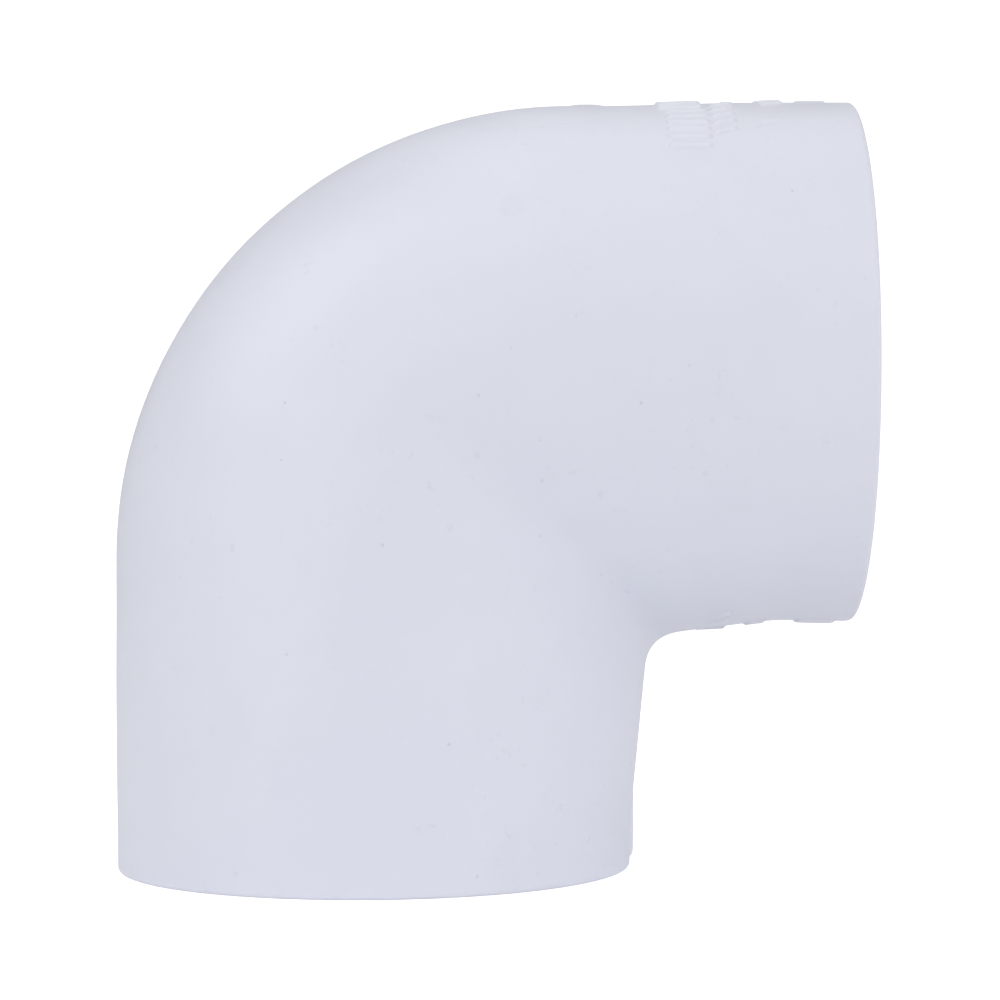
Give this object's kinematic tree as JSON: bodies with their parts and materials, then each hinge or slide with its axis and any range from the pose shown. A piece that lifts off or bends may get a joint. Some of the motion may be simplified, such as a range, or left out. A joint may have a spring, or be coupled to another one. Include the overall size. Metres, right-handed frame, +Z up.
{
  "type": "pipe elbow",
  "caption": "90 degree white PVC pipe elbow with a plain solvent-weld socket and pipe stop at each end, rounded heel and filleted throat, nominal size 1 inch.",
  "frame": {"origin": "middle of the footprint, on the surface that the elbow stands on with its lower mouth down", "axes": "+Z up along the lower hub's axis, which leaves downwards along -Z; +X along the side hub's axis, out of its mouth; +Y across the elbow, square to its plane of symmetry"},
  "size_m": [0.0592, 0.0418, 0.0614],
  "materials": {
    "pvc": "satin"
  },
  "bodies": {
    "root": {"elbow_body": "pvc"}
  },
  "joints": []
}
